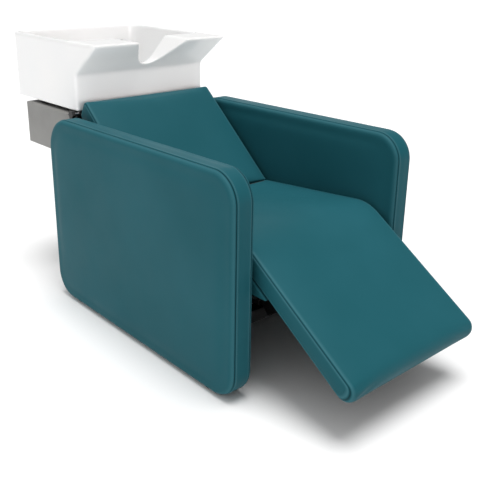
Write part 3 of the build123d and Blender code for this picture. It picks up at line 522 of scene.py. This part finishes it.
# ---------------------------------------------------------------- seat with legrest, and backrest
PAD_EDGE = [(0.0, 12.0), (0.2, 8.8), (0.8, 6.4), (2.0, 5.0), (3.2, 5.2), (4.2, 4.0), (5.0, 2.2), (6.6, 0.8),
            (9.6, 0.1), (15.0, 0.0), (22.0, 0.0), (34.0, 0.0), (50.0, 0.0)]
# Seam shading per edge ring: painted shade in the groove above 0, painted highlight on the rolled edge below 0.
PAD_SEAM_SHADING = {1: -0.2, 2: -0.5, 3: 0.1, 4: 0.8, 5: 0.5, 6: -0.2, 7: -0.4, 8: -0.2}
PAD_SHARES = (0.3, 0.62, 0.93)
PAD_STEP = 14.0
PAD_COLUMNS = 27
TIP_REACH = 90
SIDE_BULGE = 0.0012
SEAT_SWELL, BACK_SWELL = 0.011, 0.012


def nearest_on(line, points):
    """The nearest spot to each point on a run of straight segments."""
    nearest = np.empty_like(points)
    for k, point in enumerate(points):
        spots = []
        for a, b in zip(line, line[1:]):
            t = np.clip(np.dot(point - a, b - a) / np.dot(b - a, b - a), 0, 1)
            spots.append(a + t * (b - a))
        nearest[k] = min(spots, key=lambda spot: np.linalg.norm(point - spot))
    return nearest


def pad(name, outline, first, second, spine_line, crown, held_below, tip, draw_back, corner):
    """Wide cover swept across the chair: side panels sewn along the profile, top and bottom in one piece.

    Its two corners at the tip are rounded in plan, drawn back along a unit direction.
    """
    points, outward = halves(outline, first, second, PAD_STEP)
    inner = np.linspace(PAD_EDGE[-1][0], PAD_WIDTH - PAD_EDGE[-1][0], PAD_COLUMNS)[1:-1]
    edge = PAD_EDGE + [(x, 0.0) for x in inner] + [(PAD_WIDTH - x, d) for x, d in reversed(PAD_EDGE)]
    band = [ring_at(points, outward, x - PAD_WIDTH / 2, d) for x, d in edge]
    near_tip = np.clip(1 - np.linalg.norm(points - np.array(tip), axis=1) / TIP_REACH, 0, 1)
    near_tip = near_tip * near_tip * (3 - 2 * near_tip)
    for (x, _), ring in zip(edge, band):
        short = max(corner - min(x, PAD_WIDTH - x), 0)
        back = corner - math.sqrt(corner * corner - short * short)
        ring[:, 1:] += np.outer(near_tip, draw_back) * back / 1000
    nearest = nearest_on(np.array(spine_line), points)
    faces = []
    for ring in (band[0], band[-1]):
        middle = np.stack([np.full(len(points), ring[0, 0]), nearest[:, 0] / 1000 + arm_low.y,
                           nearest[:, 1] / 1000 + arm_low.z], axis=1)
        bulges = [math.copysign(SIDE_BULGE * math.sin(share * math.pi / 2), ring[0, 0])
                  for share in PAD_SHARES]
        faces.append([toward(ring, middle, share, bulge) for share, bulge in zip(PAD_SHARES, bulges)])
    rings = faces[0][::-1] + band + faces[1]
    lead = len(PAD_SHARES)
    shaded_rings = [(lead + k, v) for k, v in PAD_SEAM_SHADING.items()]
    shaded_rings += [(lead + len(edge) - 1 - k, v) for k, v in PAD_SEAM_SHADING.items()]
    cover = build(name, rings, shaded_rings, materials["upholstery"])
    cover.data.materials.append(materials["lining"])
    underside = held_below(points)
    x = np.array([ring[0, 0] for ring in rings])
    half_width = PAD_WIDTH / 2000
    lined = (np.abs(x) < half_width - 0.02)[:, None] & underside[None, :]
    for face in cover.data.polygons:
        if all(lined.flat[v] for v in face.vertices):
            face.material_index = 2
    free = np.clip((half_width - 0.008 - np.abs(x)) / 0.004, 0, 1)[:, None] * np.ones(len(points))
    free *= (~underside)[None, :]
    free[:2] = free[-2:] = 0.3
    inflate(cover, (1 - free).ravel(), crown)
    subdivide(cover)
    return cover


def under_seat(points):
    """Which outline points lie under the seat and legrest, or at the seat's rear edge."""
    slope = np.where(points[:, 0] < HINGE[0], math.tan(DROP), -math.tan(RISE))
    return (points[:, 1] < HINGE[1] + (points[:, 0] - HINGE[0]) * slope - 8) | (points[:, 0] > CREASE[0] - 12)


def behind_back(points):
    """Which outline points lie on the rear face of the backrest."""
    return (points[:, 1] - CREASE[1]) * math.cos(LEAN) - (points[:, 0] - CREASE[0]) * math.sin(LEAN) < -12


seat_end = math.hypot(BEND[0] - CREASE[0], BEND[1] - CREASE[1]) - 11
HALF_PAD = PAD_THICK / 2
bottom_fold = (2 * HINGE[0] - BEND[0], 2 * HINGE[1] - BEND[1])
seat_outline = rounded([CREASE, BEND, leg_point(LEG_LENGTH, HALF_PAD), leg_point(LEG_LENGTH, -HALF_PAD),
                        bottom_fold, seat_point(seat_end, -HALF_PAD)], [5, 130, 29.9, 29.9, 60, 12])
seat_spine = [seat_point(seat_end - HALF_PAD, 0), HINGE, leg_point(LEG_LENGTH - HALF_PAD, 0)]
seat_cover = pad("seat_and_legrest_cover", seat_outline, seat_point(seat_end, 0), leg_point(LEG_LENGTH, 0),
                 seat_spine, SEAT_SWELL, under_seat,
                 leg_point(LEG_LENGTH, 0), (math.cos(DROP), math.sin(DROP)), 20.0)
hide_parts("seat_cushion", "legrest_cushion", "seat_board", "legrest_board")
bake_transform(seat_cover)

back_outline = rounded([back_point(1, 0), BACK_TOP, (BACK_TOP[0] + 16, BACK_TOP[1] - 5),
                        (BACK_TOP[0] + 45, BACK_TOP[1] - 58), back_point(365, -45), back_point(1, -45)],
                       [5, 12, 10, 22, 30, 12])
back_spine = [back_point(24, -22), back_point(420, -24)]
back_cover = pad("backrest_cover", back_outline, back_point(1, -22), back_point(446, -14),
                 back_spine, BACK_SWELL, behind_back,
                 BACK_TOP, (-math.cos(LEAN), -math.sin(LEAN)), 9.0)
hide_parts("backrest_cushion", "backrest_board")
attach(back_cover, "base")

for side in ("left", "right"):
    cover = arm(f"arm_upholstery_{side}", f"arm_cover_{side}")
    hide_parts(f"arm_cover_{side}")
    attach(cover, "base")


PANEL_EDGE = [(0.0, 5.0), (0.3, 2.2), (1.6, 0.6), (4.0, 0.1), (8.0, 0.1), (10.4, 0.6), (11.7, 2.2),
              (12.0, 5.0)]


def side_panel(name, node):
    """Thin wrapped panel with the straight outline of its CAD plate and soft edges."""
    low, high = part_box(node)
    plate = frame["nodes"][node]
    spots = {(round(v.y, 5), round(v.z, 5)) for v in (plate.matrix_world @ v.co for v in plate.data.vertices)}
    corners = np.array([((y - arm_low.y) * 1000, (z - arm_low.z) * 1000) for y, z in spots])
    middle = corners.mean(axis=0)
    corners = corners[np.argsort(np.arctan2(corners[:, 1] - middle[1], corners[:, 0] - middle[0]))]
    outline = rounded(corners, [4.0] * len(corners))
    rear, front = [outline[i] for i in (np.argmax(outline[:, 0]), np.argmin(outline[:, 0]))]
    points, outward = halves(outline, rear, front, 16.0)
    band = [ring_at(points, outward, low.x * 1000 + x, d) for x, d in PANEL_EDGE]
    panel = build(name, band, [], materials["upholstery"])
    subdivide(panel)
    return panel


for side in ("left", "right"):
    panel = side_panel(f"seat_panel_{side}", f"seat_side_{side}")
    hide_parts(f"seat_side_{side}")
    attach(panel, "base")


# ---------------------------------------------------------------- basin
BASIN_VOXEL = 0.0034
SMOOTHING_PASSES = 26
KEPT_FACES = 0.55


def glazed_basin():
    """The cast basin with soft glazed edges: remeshed from its solid, smoothed except at its fittings."""
    source = frame["nodes"]["basin"]
    obj = add_object("glazed_basin", source.data.copy())
    remesh = obj.modifiers.new("Remesh", "REMESH")
    remesh.mode = "VOXEL"
    remesh.voxel_size = BASIN_VOXEL
    apply_modifier(obj, remesh)
    points = read(obj)
    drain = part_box("waste_nut")
    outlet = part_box("hose_outlet")
    drain_x, drain_y = (drain[0].x + drain[1].x) / 2, (drain[0].y + drain[1].y) / 2
    outlet_x, outlet_z = (outlet[0].x + outlet[1].x) / 2, (outlet[0].z + outlet[1].z) / 2
    from_drain = np.hypot(points[:, 0] - drain_x, points[:, 1] - drain_y)
    from_outlet = np.hypot(points[:, 0] - outlet_x, points[:, 2] - outlet_z)
    from_outlet = np.where(points[:, 1] > outlet[0].y - 0.035, from_outlet, 1.0)
    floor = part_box("basin")[0].z
    free = np.clip((from_drain - 0.042) / 0.02, 0, 1) * np.clip((from_outlet - 0.031) / 0.012, 0, 1)
    free *= np.clip((points[:, 2] - floor - 0.002) / 0.012, 0, 1)
    edges = np.empty(len(obj.data.edges) * 2, np.int64)
    obj.data.edges.foreach_get("vertices", edges)
    edges = edges.reshape(-1, 2)
    degree = np.bincount(edges.ravel(), minlength=len(points))[:, None]
    for _ in range(SMOOTHING_PASSES):
        total = np.zeros_like(points)
        for axis in range(3):
            total[:, axis] = np.bincount(edges[:, 0], points[edges[:, 1], axis], len(points))
            total[:, axis] += np.bincount(edges[:, 1], points[edges[:, 0], axis], len(points))
        points = points + 0.5 * free[:, None] * (total / degree - points)
    write(obj, points)
    thin = obj.modifiers.new("Decimate", "DECIMATE")
    thin.ratio = KEPT_FACES
    apply_modifier(obj, thin)
    obj.data.shade_smooth()
    flat = obj.modifiers.new("WeightedNormal", "WEIGHTED_NORMAL")
    flat.weight = 80
    apply_modifier(obj, flat)
    obj.data.materials.clear()
    obj.data.materials.append(materials["ceramic"])
    return obj


basin_piece = glazed_basin()
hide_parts("basin")
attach(basin_piece, "basin_unit")

# ---------------------------------------------------------------- waste hose
HOSE_RIBS = 11
HOSE_GROOVE = 0.0022
HOSE_WALL = 0.004
STEPS_PER_RIB, HOSE_SIDES = 8, 48


def ribbed_hose():
    """Ribbed hose between the waste and its outlet."""
    low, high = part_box("waste_hose")
    middle = ((low.x + high.x) / 2, (low.y + high.y) / 2)
    outer = (high.x - low.x) / 2
    steps = HOSE_RIBS * STEPS_PER_RIB
    outside = []
    for k in range(steps + 1):
        groove = HOSE_GROOVE * (0.5 + 0.5 * math.cos(2 * math.pi * HOSE_RIBS * k / steps))
        outside.append((outer - groove, low.z + (high.z - low.z) * k / steps))
    profile = outside + [(outer - HOSE_WALL, z) for _, z in reversed(outside)]
    turns = [2 * math.pi * n / HOSE_SIDES for n in range(HOSE_SIDES)]
    vertices = [(middle[0] + radius * math.cos(turn), middle[1] + radius * math.sin(turn), z)
                for radius, z in profile for turn in turns]
    faces = []
    for p in range(len(profile)):
        row, following = p * HOSE_SIDES, (p + 1) % len(profile) * HOSE_SIDES
        for k in range(HOSE_SIDES):
            n = (k + 1) % HOSE_SIDES
            faces.append((row + k, row + n, following + n, following + k))
    mesh = bpy.data.meshes.new("ribbed_hose")
    mesh.from_pydata(vertices, [], faces)
    mesh.materials.append(materials["white_plastic"])
    obj = add_object("ribbed_hose", mesh)
    face_outward(mesh)
    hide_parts("waste_hose")
    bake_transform(obj)


ribbed_hose()

# ---------------------------------------------------------------- floor and light
FLOOR_REACH = 30.0
floor_mesh = bpy.data.meshes.new("studio_floor")
floor_corners = [(x * FLOOR_REACH, y * FLOOR_REACH, 0) for x, y in ((-1, -1), (1, -1), (1, 1), (-1, 1))]
floor_mesh.from_pydata(floor_corners, [], [(0, 1, 2, 3)])
studio_floor = add_object("studio_floor", floor_mesh)
studio_floor.location.z = -0.0005
floor_material, _ = new_material("studio_floor", (0.9, 0.9, 0.9), 0.9, specular=0.1)
floor_mesh.materials.append(floor_material)

scene.world = bpy.data.worlds.new("studio")
scene.world.use_nodes = True
background = scene.world.node_tree.nodes["Background"]
direction = add_node(scene.world, "ShaderNodeTexCoord").outputs["Generated"]


def lobe(toward, *stops):
    """Sky brightness by the angle from one direction, as a ramp over -1 to 1 of its cosine."""
    cosine = add_node(scene.world, "ShaderNodeVectorMath", [("Vector", direction)], operation="DOT_PRODUCT")
    cosine.inputs[1].default_value = toward
    share = add_node(scene.world, "ShaderNodeMapRange", [("Value", cosine.outputs["Value"])],
                     **{"From Min": -1.0})
    return ramp(scene.world, share.outputs["Result"], *[(at, grey(value)) for at, value in stops])


overhead = lobe((-0.56, -0.12, 0.82), (0.5, 0.06), (0.72, 0.34), (0.9, 0.78), (1.0, 1.0))
behind = lobe((0.5, 0.81, 0.31), (0.88, 0.0), (0.97, 0.8))
sky = add_node(scene.world, "ShaderNodeMix", data_type="RGBA", blend_type="ADD")
sky.inputs[MIX_SHARE].default_value = 1.0
link(scene.world, overhead, sky, MIX_A)
link(scene.world, behind, sky, MIX_B)
backdrop = add_node(scene.world, "ShaderNodeMix", data_type="RGBA")
backdrop.inputs[MIX_B].default_value = (1, 1, 1, 1)
seen = add_node(scene.world, "ShaderNodeLightPath").outputs["Is Camera Ray"]
link(scene.world, seen, backdrop, MIX_SHARE)
link(scene.world, sky.outputs[MIX_RESULT], backdrop, MIX_A)
link(scene.world, backdrop.outputs[MIX_RESULT], background, "Color")


def sun_light(name, toward_sun, spread, power, tint=(1.0, 1.0, 1.0)):
    data = bpy.data.lights.new(name, "SUN")
    data.color = tint
    data.angle = math.radians(spread)
    data.energy = power
    lamp = add_object(name, data)
    lamp.rotation_euler = Vector(toward_sun).to_track_quat("Z", "Y").to_euler()
    return lamp


def only(piece, state):
    """A light's list of pieces: just this one (INCLUDE) or all but this one (EXCLUDE)."""
    group = bpy.data.collections.new(f"{piece.name}_{state}")
    group.objects.link(piece)
    group.collection_objects[0].light_linking.link_state = state
    return group


overhead_light = sun_light("overhead_light", (0.02, -0.12, 1.0), 32, 2.35)
overhead_light.light_linking.receiver_collection = only(basin_piece, "EXCLUDE")
overhead_light.light_linking.blocker_collection = only(basin_piece, "EXCLUDE")
basin_top_light = sun_light("basin_top_light", (0.0, -0.1, 1.0), 60, 1.45)
basin_front_light = sun_light("basin_front_light", (-0.1, -1.0, 0.0), 30, 2.2, (1.0, 0.95, 0.94))
for lamp in (basin_top_light, basin_front_light):
    lamp.light_linking.receiver_collection = only(basin_piece, "INCLUDE")
scene.view_settings.view_transform = "Standard"
